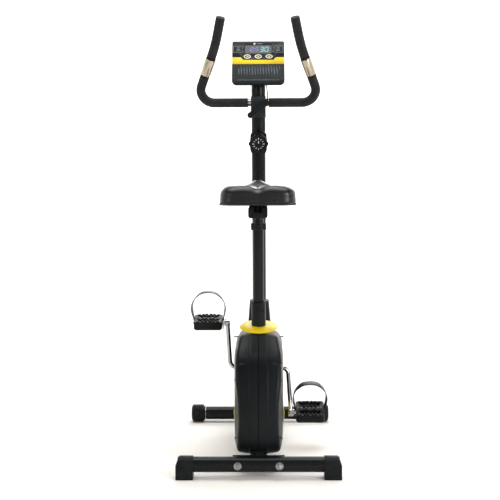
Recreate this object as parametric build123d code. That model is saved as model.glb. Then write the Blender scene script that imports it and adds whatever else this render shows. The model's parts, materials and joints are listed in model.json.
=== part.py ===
from build123d import *
import os
from math import cos, pi, radians, sin, tan

# Upright magnetic exercise bike. Millimetres. +X is the rider's right, +Y is forward and +Z is up.
# The origin is on the floor, midway between the stabilisers.

os.makedirs("parts", exist_ok=True)

# ---------------------------------------------------------------- driving dimensions
# stance
FOOT_HALF = 254                    # half the width over the stabiliser ends
STABILISER_R = 24
STABILISER_WALL = 2
REAR_Y, REAR_Z = -380, 43          # rear stabiliser's axis
FRONT_Y, FRONT_Z = 380, 32         # front stabiliser's axis
FOOT_R = 27                        # rear end cap's round top
FOOT_LENGTH = 53
ROLLER_R = 32                      # transport roller
ROLLER_WIDTH = 50
STABILISER_BOLT_X = 64
SADDLE_PLATE_HALF = 80
SADDLE_PLATE_THICK = 4

# frame tubes
SPINE_HALF, SPINE_LOW, SPINE_HIGH, SPINE_WALL = 25, 35, 75, 2.5
SEAT_LEAN, SEAT_Y, SEAT_Z = 11.5, -150, 430       # seat tube's lean and a point on its axis
SEAT_TUBE_R, SEAT_TUBE_TOP = 23, 515
POST_R = 17.5
MAST_LEAN, MAST_Y, MAST_Z = 7.5, 112, 1165        # mast's lean and a point on its axis
MAST_R, MAST_WALL = 24, 2
MAST_FOOT, MAST_TOP = 372, 1245
STRUT_R, STRUT_TOP = 27, 452

# drive
CRANK_Z = 273
CRANK_LENGTH = 152
CRANK_R = 7.25
CRANK_ANGLE = 4                    # left arm up and this far forward of upright
SHELL_HALF, SHELL_R, SHELL_BORE = 34, 25.5, 22
CONE_R = 14
PULLEY_R, PULLEY_LOW, PULLEY_HIGH = 112, 40, 54
WHEEL_Y, WHEEL_Z, WHEEL_R = 195, 195, 100
WHEEL_LOW, WHEEL_HIGH = -62, -31   # flywheel's faces along X
SHAFT_R = 6
SMALL_PULLEY_R = 16
BELT_THICK = 3
RUNNING = 0.06                     # radial clearance of a running fit
GAP = 0.3                          # clearance between separate moving bodies

# pedals
PEDAL_X, PEDAL_HALF, PEDAL_LENGTH, PEDAL_THICK = 171, 47.5, 96, 29
LEFT_PITCH, RIGHT_PITCH = 8, 19    # rear edge down at rest
STRAP_WIDTH, STRAP_THICK, STRAP_RISE, STRAP_HALF = 27, 3, 100, 56

# handlebar
BAR_Y, BAR_Z = 64, 1165            # axis of the clamped middle
BAR_LEAN = 24
BAR_R, BAR_WALL, GRIP_R = 12.5, 1.5, 15.5
BAR_CORNER, BAR_KNEE, BAR_TIP = (211, 0), (140, 202), (122, 291)
SENSOR_LOW, SENSOR_HIGH = 96, 158
CLAMP_HALF, CLAMP_LOW, CLAMP_HIGH = 25, 1115, 1187
T_HANDLE_Z, T_HANDLE_TILT = 1142, 37

# console
CONSOLE_WIDTH, CONSOLE_HEIGHT, CONSOLE_TILT = 178, 177, 32
CONSOLE_Y, CONSOLE_Z = 50, 1228    # middle of the face's lower edge
FACE_DEPTH, BACK_DEPTH = 11, 27

# saddle
SADDLE_LOW, PAN_THICK, CUSHION_TOP = 834, 8, 908
CHANNEL_HALF, CHANNEL_LOW, CHANNEL_HIGH = 30, 794, 830
CHANNEL_REAR, CHANNEL_FRONT = -310, -142
SLIDER_REAR, SLIDER_FRONT = -268, -184
KNOB_Y = -276

BASE = (Align.CENTER, Align.CENTER, Align.MIN)


# ---------------------------------------------------------------- shape helpers
def rod(start, end, radius):
    """A round bar between two points."""
    start, end = Vector(*start), Vector(*end)
    run = end - start
    return Plane(origin=start, z_dir=run) * Cylinder(radius, run.length, align=BASE)


def tube(start, end, radius, bore):
    return rod(start, end, radius) - rod(start, end, bore)


def axle(y, z, low, high, radius):
    """A round bar along X."""
    return rod((low, y, z), (high, y, z), radius)


def block(low, high):
    size = Vector(*high) - Vector(*low)
    return Pos(*low) * Box(size.X, size.Y, size.Z, align=(Align.MIN, Align.MIN, Align.MIN))


def across(face, low, high):
    """A side-view face, drawn in Y and Z, made solid from X = low to X = high."""
    return extrude(Plane.YZ.offset(low) * face, high - low, dir=(1, 0, 0))


def outline(points, radius):
    """A closed outline with rounded corners."""
    return make_face(FilletPolyline(*points, radius=radius, close=True))


def both_sides(shape):
    return shape + mirror(shape, about=Plane.YZ)


def seat_axis(z):
    return Vector(0, SEAT_Y - (z - SEAT_Z) * tan(radians(SEAT_LEAN)), z)


def mast_axis(z):
    return Vector(0, MAST_Y - (z - MAST_Z) * tan(radians(MAST_LEAN)), z)


def group(*shapes):
    """Separate solids kept together in one node."""
    return Compound([solid for shape in shapes for solid in shape.solids()])


def save(name, shape):
    export_step(shape, f"parts/{name}.step")


# side-view directions: up along each leaning tube, and square to it
SEAT_FORWARD = Vector(0, cos(radians(SEAT_LEAN)), sin(radians(SEAT_LEAN)))
MAST_REAR = Vector(0, -cos(radians(MAST_LEAN)), -sin(radians(MAST_LEAN)))
seat_tube_core = rod(seat_axis(50), seat_axis(SEAT_TUBE_TOP), SEAT_TUBE_R)
strut_core = rod(mast_axis(50), mast_axis(STRUT_TOP), STRUT_R)
mast_core = rod(mast_axis(MAST_FOOT), mast_axis(MAST_TOP), MAST_R)


# ---------------------------------------------------------------- stabilisers
def stabiliser_bolt_holes(radius):
    """Round holes along Y at the four stabiliser bolts."""
    holes = [rod((x, y - 60, z), (x, y + 60, z), radius)
             for x in (-STABILISER_BOLT_X, STABILISER_BOLT_X)
             for y, z in ((REAR_Y, REAR_Z), (FRONT_Y, FRONT_Z))]
    return holes[0] + holes[1] + holes[2] + holes[3]


bolt_holes = stabiliser_bolt_holes(4.2)
STABILISERS = ((REAR_Y, REAR_Z, 1), (FRONT_Y, FRONT_Z, -1))    # the last value points to the frame
rear_tube_end = FOOT_HALF - 6
front_tube_end = FOOT_HALF - ROLLER_WIDTH - 3

save("rear_stabiliser", tube((-rear_tube_end, REAR_Y, REAR_Z), (rear_tube_end, REAR_Y, REAR_Z),
                             STABILISER_R, STABILISER_R - STABILISER_WALL) - bolt_holes)
save("front_stabiliser", tube((-front_tube_end, FRONT_Y, FRONT_Z), (front_tube_end, FRONT_Y, FRONT_Z),
                              STABILISER_R, STABILISER_R - STABILISER_WALL) - bolt_holes)


def saddle_plate(y, z, side):
    """The curved plate on the frame's end that hugs a stabiliser."""
    shell = (axle(y, z, -SADDLE_PLATE_HALF, SADDLE_PLATE_HALF, STABILISER_R + SADDLE_PLATE_THICK)
             - axle(y, z, -SADDLE_PLATE_HALF, SADDLE_PLATE_HALF, STABILISER_R))
    near, far = sorted((y + side * 11, y + side * 40))
    return (shell & block((-90, near, z - 40), (90, far, z + 40))) - bolt_holes


def stabiliser_fasteners():
    """Carriage bolts from the frame side, with curved washers and domed nuts on the outside."""
    bolts, washers, nuts = Part(), Part(), Part()
    for y, z, side in STABILISERS:
        inner = y + side * (STABILISER_R + SADDLE_PLATE_THICK)
        outer = y - side * (STABILISER_R + 3)
        for x in (-STABILISER_BOLT_X, STABILISER_BOLT_X):
            shank = rod((x, outer - side * 8, z), (x, inner, z), 4)
            head = rod((x, inner, z), (x, inner + side * 3, z), 9)
            crown = rod((x, inner + side * 3, z), (x, inner + side * 5, z), 6)
            bolts += shank + head + crown
            ring = axle(y, z, x - 14, x + 14, STABILISER_R + 3) - axle(y, z, x - 14, x + 14, STABILISER_R)
            washers += (ring & rod((x, y, z), (x, outer - side, z), 12)) - bolt_holes
            seat = Plane(origin=(x, outer, z), z_dir=(0, -side, 0))
            hexagon = extrude(seat * RegularPolygon(7.5, 6), 8)
            dome = seat * Pos(0, 0, 8) * Sphere(6.2) - extrude(seat * Circle(9), 8) - extrude(
                seat * Circle(9), -9)
            nuts += hexagon + dome - rod((x, outer, z), (x, outer - side * 8, z), 4)
    return bolts, washers, nuts


bolts, washers, nuts = stabiliser_fasteners()
save("stabiliser_fasteners", group(bolts, washers, nuts))


def rear_cap(side):
    """A foot that closes the rear stabiliser's end: round over the tube, flat on the floor."""
    inner, outer = FOOT_HALF - FOOT_LENGTH, FOOT_HALF
    profile = (Pos(REAR_Y, REAR_Z) * Circle(FOOT_R)
               + Pos(REAR_Y, REAR_Z / 2) * Rectangle(2 * FOOT_R, REAR_Z))
    cap = across(profile, inner, outer) - axle(REAR_Y, REAR_Z, inner, rear_tube_end, STABILISER_R)
    bevel = Plane.XZ.offset(-REAR_Y) * make_face(
        Polyline((outer - 12, 71), (outer + 1, 71), (outer + 1, 42), close=True))
    cap -= extrude(bevel, 60, both=True)
    return cap if side > 0 else mirror(cap, about=Plane.YZ)


save("rear_cap_left", rear_cap(-1))
save("rear_cap_right", rear_cap(1))


def roller_pin(side):
    """A plug in the front stabiliser's end with the stub axle that carries a roller."""
    plug = axle(FRONT_Y, FRONT_Z, front_tube_end - 18, front_tube_end, STABILISER_R - STABILISER_WALL)
    collar = axle(FRONT_Y, FRONT_Z, front_tube_end, front_tube_end + 2.5, 20)
    pin = axle(FRONT_Y, FRONT_Z, front_tube_end, FOOT_HALF - 9, 8)
    whole = plug + collar + pin
    return whole if side > 0 else mirror(whole, about=Plane.YZ)


def roller(side):
    """A transport roller with grip grooves, a slightly domed outer end and a blind bore."""
    inner, outer = FOOT_HALF - ROLLER_WIDTH, FOOT_HALF
    half = make_face(Polyline((8 + RUNNING, inner), (26, inner), (26, inner + 5), (ROLLER_R - 2, inner + 5),
                              (ROLLER_R, inner + 7), (ROLLER_R, outer - 8), (ROLLER_R - 3, outer - 3),
                              (ROLLER_R - 10, outer), (0, outer), (0, outer - 8), (8 + RUNNING, outer - 8),
                              close=True))
    body = Pos(0, FRONT_Y, FRONT_Z) * Rot(0, 90, 0) * revolve(Plane.XZ * half, Axis.Z)
    for x in (inner + 16, inner + 24, inner + 32):
        groove = axle(FRONT_Y, FRONT_Z, x, x + 2, ROLLER_R + 1)
        body -= groove - axle(FRONT_Y, FRONT_Z, x, x + 2, ROLLER_R - 1.5)
    return body if side > 0 else mirror(body, about=Plane.YZ)


save("roller_pins", roller_pin(-1) + roller_pin(1))
save("roller_left", roller(-1))
save("roller_right", roller(1))


# ---------------------------------------------------------------- frame tubes
def spine():
    """The box tube that joins the two stabilisers."""
    ends = (REAR_Y + 18, FRONT_Y - 18)
    outer = block((-SPINE_HALF, ends[0], SPINE_LOW), (SPINE_HALF, ends[1], SPINE_HIGH))
    inner_half, low, high = SPINE_HALF - SPINE_WALL, SPINE_LOW + SPINE_WALL, SPINE_HIGH - SPINE_WALL
    outer -= block((-inner_half, ends[0], low), (inner_half, ends[1], high))
    for y, z, _ in STABILISERS:
        outer -= axle(y, z, -60, 60, STABILISER_R + SADDLE_PLATE_THICK)
    return outer


below_spine_top = block((-60, -400, 0), (60, 400, SPINE_HIGH))
save("spine_tube", spine() + saddle_plate(*STABILISERS[0]) + saddle_plate(*STABILISERS[1]))

# the seat tube carries a welded boss in front for the height pin
PIN_Z, PIN_R, PIN_BOSS_END = 472, 5, 37
pin_seat = seat_axis(PIN_Z)
pin_hole = rod(pin_seat, pin_seat + SEAT_FORWARD * 60, PIN_R + RUNNING)
seat_tube = seat_tube_core + rod(pin_seat, pin_seat + SEAT_FORWARD * PIN_BOSS_END, 12)
save("seat_tube", seat_tube - rod(seat_axis(0), seat_axis(600), SEAT_TUBE_R - 2) - below_spine_top - pin_hole)

# the brake cable leaves the front strut through a hole in its left side
CABLE_R = 2.5
CABLE_TOP, CABLE_TURN, CABLE_END = mast_axis(1000), mast_axis(342), Vector(-46, 236, 316)
cable_hole = rod(CABLE_TURN, CABLE_END, 8)
MAST_BOLT_LEVELS = (414, 438)


def mast_bolt_holes(radius):
    low, high = (mast_axis(z) for z in MAST_BOLT_LEVELS)
    return rod(low, low - MAST_REAR * 40, radius) + rod(high, high - MAST_REAR * 40, radius)


save("front_strut", tube(mast_axis(50), mast_axis(STRUT_TOP), STRUT_R, STRUT_R - 3)
     - below_spine_top - cable_hole - mast_bolt_holes(4.1))

beam = block((-15, seat_axis(CRANK_Z).Y, CRANK_Z - 20), (15, mast_axis(CRANK_Z).Y, CRANK_Z + 20))
beam -= block((-12.5, -200, CRANK_Z - 17.5), (12.5, 300, CRANK_Z + 17.5))
beam -= seat_tube_core + strut_core + axle(0, CRANK_Z, -40, 40, SHELL_R)
crank_shell = axle(0, CRANK_Z, -SHELL_HALF, SHELL_HALF, SHELL_R) - axle(
    0, CRANK_Z, -SHELL_HALF, SHELL_HALF, SHELL_BORE)

BEARING_R, BEARING_WIDTH, BOSS_HALF = 14, 8, 26
boss = axle(WHEEL_Y, WHEEL_Z, -BOSS_HALF, BOSS_HALF, 24) - axle(WHEEL_Y, WHEEL_Z, -BOSS_HALF, BOSS_HALF, 10)
for low in (-BOSS_HALF, BOSS_HALF - BEARING_WIDTH):
    boss -= axle(WHEEL_Y, WHEEL_Z, low, low + BEARING_WIDTH, BEARING_R)
BRAKE_Y, BRAKE_Z, BRAKE_PIN_R = 115, 275, 5
brake_pin = axle(BRAKE_Y, BRAKE_Z, WHEEL_LOW - 4, -15, BRAKE_PIN_R)
save("crank_beams", beam + crank_shell + (boss - strut_core) + brake_pin)
bearing = axle(WHEEL_Y, WHEEL_Z, BOSS_HALF - BEARING_WIDTH, BOSS_HALF, BEARING_R) - axle(
    WHEEL_Y, WHEEL_Z, BOSS_HALF - BEARING_WIDTH, BOSS_HALF, SHAFT_R + RUNNING)

cup = axle(0, CRANK_Z, SHELL_HALF - 10, SHELL_HALF, SHELL_BORE) + axle(
    0, CRANK_Z, SHELL_HALF, SHELL_HALF + 3, SHELL_R)
cup -= axle(0, CRANK_Z, 0, 60, CONE_R + RUNNING)
save("bearings", group(both_sides(bearing), both_sides(cup)))


# ---------------------------------------------------------------- mast, tension dial and brake cable
DIAL_Z = 1034
dial_plane = Plane(origin=mast_axis(DIAL_Z), x_dir=(1, 0, 0), z_dir=MAST_REAR)
dial_pocket = dial_plane * Cylinder(9, MAST_R + 4, align=BASE)
mast = tube(mast_axis(MAST_FOOT), mast_axis(MAST_TOP), MAST_R, MAST_R - MAST_WALL)
mast -= mast_bolt_holes(4.1) + dial_pocket

bolt_start = MAST_R - MAST_WALL - 2
mast_bolts = Part()
for level in MAST_BOLT_LEVELS:
    front = Plane(origin=mast_axis(level), z_dir=MAST_REAR * -1)
    shank = front * Pos(0, 0, bolt_start) * Cylinder(4, STRUT_R + 1.5 - bolt_start, align=BASE)
    head = front * Pos(0, 0, STRUT_R + 0.5) * Cylinder(7, 5, align=BASE)
    socket = front * Pos(0, 0, STRUT_R + 3) * extrude(RegularPolygon(3, 6), 4)
    mast_bolts += shank + head - socket
save("mast_bolts", mast_bolts)

# the dial's seat clips round the mast's rear half and is a little wider than it
DIAL_SEAT_REACH, DIAL_R, DIAL_DEPTH = 40, 34, 21
seat_profile = Rectangle(2 * (MAST_R + 4), 74)
dial_base = dial_plane * (extrude(fillet(seat_profile.vertices(), 14), DIAL_SEAT_REACH - 6)
                          + Pos(0, 0, DIAL_SEAT_REACH - 6) * Cylinder(27, 6, align=BASE))
dial_base -= mast_core
dial_base -= dial_plane * Pos(0, 0, -1) * Box(100, 100, 2 * 12)
dial_base -= dial_plane * Cylinder(4 + RUNNING, 60, align=BASE)
save("dial_base", dial_base)


def dial_knob():
    """The tension knob: a round cap with ten finger lobes on a short spindle."""
    lobes = Circle(DIAL_R - 3)
    for turn in range(10):
        lobes += Rot(0, 0, 36 * turn) * Pos(DIAL_R - 6, 0) * Circle(6)
    body = extrude(lobes, DIAL_DEPTH)
    body -= Pos(0, 0, DIAL_DEPTH - 2) * (Cylinder(25, 4, align=BASE) - Cylinder(13, 4, align=BASE))
    rest = DIAL_SEAT_REACH + GAP
    spindle = Cylinder(4, 14 + GAP, align=(Align.CENTER, Align.CENTER, Align.MAX))
    return dial_plane * Pos(0, 0, rest) * (body + spindle)


save("tension_knob", dial_knob())

cable_path = FilletPolyline(CABLE_TOP, CABLE_TURN, CABLE_END,
                            radius=0.45 * (CABLE_END - CABLE_TURN).length
                            / tan(radians((CABLE_TURN - CABLE_TOP).get_angle(CABLE_END - CABLE_TURN) / 2)))
cable_start = Plane(origin=CABLE_TOP, z_dir=CABLE_TURN - CABLE_TOP)
save("brake_cable", sweep(cable_start * Circle(CABLE_R), path=cable_path))


# ---------------------------------------------------------------- handlebar clamp and T-handle
clamp_profile = outline([(BAR_Y, CLAMP_LOW), (BAR_Y + 44, CLAMP_LOW), (BAR_Y + 40, CLAMP_HIGH),
                         (BAR_Y, CLAMP_HIGH)], 3)
bar_bore = axle(BAR_Y, BAR_Z, -60, 60, BAR_R + RUNNING)
T_SCREW_R, T_SCREW_DEPTH, CAP_DEPTH = 4, 22, 19
screw_hole = rod((0, BAR_Y - 40, T_HANDLE_Z), (0, BAR_Y + T_SCREW_DEPTH, T_HANDLE_Z), T_SCREW_R + RUNNING)
save("handlebar_clamp", across(clamp_profile, -CLAMP_HALF, CLAMP_HALF) - mast_core - bar_bore - screw_hole)

cap_high = CLAMP_HIGH - 3
cap_profile = outline([(BAR_Y - 0.6, CLAMP_LOW + 3), (BAR_Y - CAP_DEPTH + 4, CLAMP_LOW + 3),
                       (BAR_Y - CAP_DEPTH, CLAMP_LOW + 12), (BAR_Y - CAP_DEPTH, cap_high - 10),
                       (BAR_Y - CAP_DEPTH + 5, cap_high), (BAR_Y - 0.6, cap_high)], 2)
save("clamp_cap", across(cap_profile, -CLAMP_HALF, CLAMP_HALF) - bar_bore - screw_hole)


def t_handle():
    """A screw with a cross handle, set at a slant."""
    face = BAR_Y - CAP_DEPTH
    front = Plane(origin=(0, face - GAP, T_HANDLE_Z), x_dir=(1, 0, 0), z_dir=(0, -1, 0))
    collar = Cylinder(11, 8, align=BASE)
    grip = Pos(0, 0, 8) * Rot(0, 0, T_HANDLE_TILT) * extrude(SlotOverall(87, 19), 15)
    screw = Cylinder(T_SCREW_R, CAP_DEPTH + T_SCREW_DEPTH - 3, align=(Align.CENTER, Align.CENTER, Align.MAX))
    return front * (collar + grip + screw)


save("t_handle", t_handle())


# ---------------------------------------------------------------- handlebar
bar_plane = Plane(origin=(0, BAR_Y, BAR_Z), x_dir=(1, 0, 0),
                  z_dir=(0, -cos(radians(BAR_LEAN)), -sin(radians(BAR_LEAN))))
CORNER_BEND, KNEE_BEND = 45, 600


def upright_x(height):
    """The upright's distance from the middle at a height in the handlebar's plane."""
    (x0, v0), (x1, v1) = BAR_CORNER, BAR_KNEE
    return x0 + (x1 - x0) * (height - v0) / (v1 - v0)


def bar_solid(path, outer, bore, start, direction):
    """A round tube along a path in the handlebar's plane."""
    section = Plane(origin=bar_plane.from_local_coords(start),
                    z_dir=bar_plane.from_local_coords(Vector(*start) + Vector(*direction))
                    - bar_plane.from_local_coords(start))
    solid = sweep(section * Circle(outer), path=path)
    return solid - sweep(section * Circle(bore), path=path) if bore else solid


def mirrored(point):
    return (-point[0], point[1])


bar_points = [mirrored(BAR_TIP), mirrored(BAR_KNEE), mirrored(BAR_CORNER), BAR_CORNER, BAR_KNEE, BAR_TIP]
bar_path = bar_plane * FilletPolyline(*bar_points, radius=[KNEE_BEND, CORNER_BEND, CORNER_BEND, KNEE_BEND])
tip_run = (BAR_TIP[0] - BAR_KNEE[0], BAR_TIP[1] - BAR_KNEE[1])
save("handlebar", bar_solid(bar_path, BAR_R, BAR_R - BAR_WALL, (*mirrored(BAR_TIP), 0),
                            (tip_run[0], -tip_run[1], 0)))

GRIP_START = 35
low_top = (upright_x(SENSOR_LOW - 3), SENSOR_LOW - 3)
low_path = bar_plane * FilletPolyline((GRIP_START, 0), BAR_CORNER, low_top, radius=[CORNER_BEND])
high_bottom = (upright_x(SENSOR_HIGH + 3), SENSOR_HIGH + 3)
high_path = bar_plane * FilletPolyline(high_bottom, BAR_KNEE, BAR_TIP, radius=[KNEE_BEND])
knee_run = (BAR_KNEE[0] - high_bottom[0], BAR_KNEE[1] - high_bottom[1], 0)
low_grip = bar_solid(low_path, GRIP_R, BAR_R, (GRIP_START, 0, 0), (1, 0, 0))
high_grip = bar_solid(high_path, GRIP_R, BAR_R, (*high_bottom, 0), knee_run)
tip = bar_plane.from_local_coords((*BAR_TIP, 0))
tip_direction = (bar_plane.from_local_coords((BAR_TIP[0] + tip_run[0], BAR_TIP[1] + tip_run[1], 0)) - tip)
end_cap = rod(tip, tip + tip_direction.normalized() * 5, GRIP_R - 0.5)
save("foam_grips", both_sides(low_grip + high_grip + end_cap))

sensor_low = bar_plane.from_local_coords((*(upright_x(SENSOR_LOW - 2), SENSOR_LOW - 2), 0))
sensor_high = bar_plane.from_local_coords((*(upright_x(SENSOR_HIGH + 2), SENSOR_HIGH + 2), 0))
sensor_run = (sensor_high - sensor_low).normalized()
save("pulse_sensors", both_sides(tube(sensor_low, sensor_high, GRIP_R + 0.5, BAR_R)))
plate_tube = tube(sensor_low + sensor_run * 6, sensor_high - sensor_run * 6, GRIP_R + 1.7, GRIP_R + 0.5)
plate_frame = Plane(origin=(sensor_low + sensor_high) * 0.5, x_dir=(0, 1, 0), z_dir=sensor_run)
divider = plate_frame * Box(7, 60, 90)
save("pulse_plates", both_sides(plate_tube - divider))

# the pulse cable enters the bar beside the clamp through a small grommet on its rear upper side
GROMMET_X, GROMMET_RISE = 30.3, 50
grommet_out = Vector(0, -cos(radians(GROMMET_RISE)), sin(radians(GROMMET_RISE)))
grommet_seat = Vector(GROMMET_X, BAR_Y, BAR_Z)
grommet = rod(grommet_seat, grommet_seat + grommet_out * (BAR_R + 4), 3.8)
save("cable_grommet", grommet - axle(BAR_Y, BAR_Z, 0, 60, BAR_R))


# ---------------------------------------------------------------- console
console = Plane(origin=(0, CONSOLE_Y, CONSOLE_Z), x_dir=(1, 0, 0),
                z_dir=(0, -cos(radians(CONSOLE_TILT)), sin(radians(CONSOLE_TILT))))
CONSOLE_LOW_CORNER, CONSOLE_HIGH_CORNER, SHELL_WALL = 17, 6, 3
BACK_HALF, BACK_LOW, BACK_HIGH = 66, 34, 165      # flat rear of the tapered back shell
LENS_WIDTH, LENS_HEIGHT, LENS_MIDDLE = 90, 35, 143.5
BUTTON_HEIGHT, BUTTON_SPACING, BUTTON_LONG, BUTTON_SHORT = 111, 37, 25, 18
BUTTON_NAMES = ("button_left", "button_middle", "button_right")
BAND_LOW, BAND_SIDE, BAND_MIDDLE = 81, 109, 98


def console_outline(inset):
    """The front's outline: widely rounded below, nearly square above."""
    side, low, high = CONSOLE_WIDTH / 2 - inset, inset, CONSOLE_HEIGHT - inset
    below, above = CONSOLE_LOW_CORNER - inset, CONSOLE_HIGH_CORNER - inset
    return outline([(-side, low), (side, low), (side, high), (-side, high)], [below, below, above, above])


def back_form(inset, depth):
    """The back shell's form, tapering from the front's outline to a smaller flat rear."""
    side, low, high = BACK_HALF - inset, BACK_LOW + inset, BACK_HIGH - inset
    rear = outline([(-side, low), (side, low), (side, high), (-side, high)], 12 - inset)
    return loft([console * Pos(0, 0, -FACE_DEPTH) * console_outline(inset), console * Pos(0, 0, -depth) * rear])


def slab(face, low, high):
    """A face drawn on the console's front, made solid between two depths."""
    return console * Pos(0, 0, low) * extrude(face, high - low)


def button_place(index):
    return Pos((index - 1) * BUTTON_SPACING, BUTTON_HEIGHT)


half = CONSOLE_WIDTH / 2
band_outline = make_face(Polyline((-half, BAND_LOW), (half, BAND_LOW), (half, BAND_SIDE), (60, BAND_SIDE),
                                  (51, BAND_MIDDLE), (-51, BAND_MIDDLE), (-60, BAND_SIDE), (-half, BAND_SIDE),
                                  close=True))
lens_outline = Pos(0, LENS_MIDDLE) * RectangleRounded(LENS_WIDTH, LENS_HEIGHT, 6)
face = slab(console_outline(0), -FACE_DEPTH, 0) - slab(console_outline(SHELL_WALL), -FACE_DEPTH, -SHELL_WALL)
face -= slab(band_outline, -1.5, 1) + slab(lens_outline, -FACE_DEPTH, 1)
for index in range(3):
    face -= slab(button_place(index) * SlotOverall(BUTTON_LONG + 0.8, BUTTON_SHORT + 0.8), -FACE_DEPTH, 1)
save("console_face", face)
save("console_trim", slab(band_outline, -1.5, 0.8))
save("console_lens", slab(lens_outline, -SHELL_WALL, -0.8))
for index, name in enumerate(BUTTON_NAMES):
    cap = slab(button_place(index) * SlotOverall(BUTTON_LONG, BUTTON_SHORT), -SHELL_WALL - 2, 1.6)
    save(name, cap)

depth = FACE_DEPTH + BACK_DEPTH
back = back_form(0, depth) - back_form(SHELL_WALL, depth - SHELL_WALL)
save("console_back", back - mast_core)
bracket = slab(Pos(0, 69) * RectangleRounded(64, 66, 6), -depth - 3, -depth)
save("mast", group(mast, bracket - mast_core))

# lead from the console's lower edge to the grommet in the handlebar
PULSE_CABLE_R = 1.8
cable_in = grommet_seat + grommet_out * (BAR_R + 5.4)
PULSE_ROUTE = [(27.5, 54.1, 1225.1), (28.5, 46.9, 1213.6), (30.5, 43.5, 1200.5), (31, 44.5, 1188),
               tuple(cable_in)]


def cord_radii(route):
    """Bend radii that let each arc take up 0.45 of its shorter run."""
    points = [Vector(*point) for point in route]
    radii = []
    for before, here, after in zip(points, points[1:], points[2:]):
        turn = (here - before).get_angle(after - here)
        radii.append(0.45 * min((here - before).length, (after - here).length) / tan(radians(turn / 2)))
    return radii


pulse_radii = cord_radii(PULSE_ROUTE)
pulse_path = FilletPolyline(*PULSE_ROUTE, radius=pulse_radii)
pulse_start = Plane(origin=PULSE_ROUTE[0], z_dir=Vector(*PULSE_ROUTE[1]) - Vector(*PULSE_ROUTE[0]))
pulse_cable = sweep(pulse_start * Circle(PULSE_CABLE_R), path=pulse_path)
save("pulse_cable", pulse_cable)
print("pulse cable: length", round(pulse_path.length, 1), "volume", round(pulse_cable.volume, 1),
      "section x length", round(pi * PULSE_CABLE_R ** 2 * pulse_path.length, 1),
      "radii", [round(radius, 1) for radius in pulse_radii])


# ---------------------------------------------------------------- crank and drive
arm = Vector(0, sin(radians(CRANK_ANGLE)), cos(radians(CRANK_ANGLE)))     # from the axis to the left pedal
crank_plane = Plane(origin=(0, 0, CRANK_Z), x_dir=(1, 0, 0),
                    z_dir=(0, -cos(radians(CRANK_ANGLE)), sin(radians(CRANK_ANGLE))))
ARM_ROOT, ARM_END, EYE_HALF, EYE_R, THREAD_R = 97, 106, 8, 13, 7
left_spindle = Vector(0, 0, CRANK_Z) + arm * CRANK_LENGTH
right_spindle = Vector(0, 0, CRANK_Z) - arm * CRANK_LENGTH

crank_path = crank_plane * FilletPolyline((-ARM_END, CRANK_LENGTH - 6), (-ARM_ROOT, 0), (ARM_ROOT, 0),
                                          (ARM_END, 6 - CRANK_LENGTH), radius=24)
crank_start = Plane(origin=crank_path @ 0, z_dir=crank_path % 0)
crank = sweep(crank_start * Circle(CRANK_R), path=crank_path)
for centre, side in ((left_spindle, -1), (right_spindle, 1)):
    low, high = sorted((side * (ARM_END - EYE_HALF), side * (ARM_END + EYE_HALF)))
    crank += axle(centre.Y, centre.Z, low, high, EYE_R)
for centre, side in ((left_spindle, -1), (right_spindle, 1)):
    low, high = sorted((side * (ARM_END - EYE_HALF - 4), side * (ARM_END + EYE_HALF)))
    crank -= axle(centre.Y, centre.Z, low, high, THREAD_R)
cone = axle(0, CRANK_Z, SHELL_HALF - 10, SHELL_HALF + 5, CONE_R) - axle(0, CRANK_Z, 0, 60, CRANK_R)
save("crank", group(crank, both_sides(cone)))

pulley = axle(0, CRANK_Z, PULLEY_LOW, PULLEY_HIGH, PULLEY_R)
for low, high in ((PULLEY_LOW, PULLEY_LOW + 4), (PULLEY_HIGH - 4, PULLEY_HIGH)):
    pulley -= axle(0, CRANK_Z, low, high, PULLEY_R - 9) - axle(0, CRANK_Z, low, high, 22)
for turn in range(5):
    angle = radians(72 * turn)
    pulley -= axle(63 * sin(angle), CRANK_Z + 63 * cos(angle), PULLEY_LOW, PULLEY_HIGH, 22)
save("crank_pulley", pulley - axle(0, CRANK_Z, 0, 60, CRANK_R))


def pulley_hull(extra):
    """The outline round both pulleys, seen from the side."""
    large = Pos(0, CRANK_Z) * Circle(PULLEY_R + extra)
    small = Pos(WHEEL_Y, WHEEL_Z) * Circle(SMALL_PULLEY_R + extra)
    return make_hull(large.edges() + small.edges())


save("drive_belt", across(pulley_hull(GAP + BELT_THICK) - pulley_hull(GAP), PULLEY_LOW + 2, PULLEY_HIGH - 2))

wheel = axle(WHEEL_Y, WHEEL_Z, WHEEL_LOW, WHEEL_HIGH, WHEEL_R)
for low, high in ((WHEEL_LOW, WHEEL_LOW + 9), (WHEEL_HIGH - 9, WHEEL_HIGH)):
    wheel -= axle(WHEEL_Y, WHEEL_Z, low, high, WHEEL_R - 22) - axle(WHEEL_Y, WHEEL_Z, low, high, 20)
save("flywheel", wheel - axle(WHEEL_Y, WHEEL_Z, -90, 0, SHAFT_R))
SHAFT_LOW, SHAFT_HIGH = -70, 62
save("flywheel_shaft", axle(WHEEL_Y, WHEEL_Z, SHAFT_LOW, SHAFT_HIGH, SHAFT_R)
     + axle(WHEEL_Y, WHEEL_Z, PULLEY_LOW, PULLEY_HIGH, SMALL_PULLEY_R))

# magnetic brake: an arm on a pin from the crank beam carries four magnets round the flywheel's rim
MAGNET_INNER, ARM_INNER, ARM_OUTER = 101.8, 107, 113


def rim_sector(inner, outer, first, last):
    """A piece of ring round the flywheel, between two angles from +Y towards +Z."""
    ring = Circle(outer) - Circle(inner)
    reach = 2 * outer
    corners = [(0, 0), (reach * cos(radians(first)), reach * sin(radians(first))),
               (reach * cos(radians(last)), reach * sin(radians(last)))]
    return Pos(WHEEL_Y, WHEEL_Z) * (ring & make_face(Polyline(*corners, close=True)))


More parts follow.
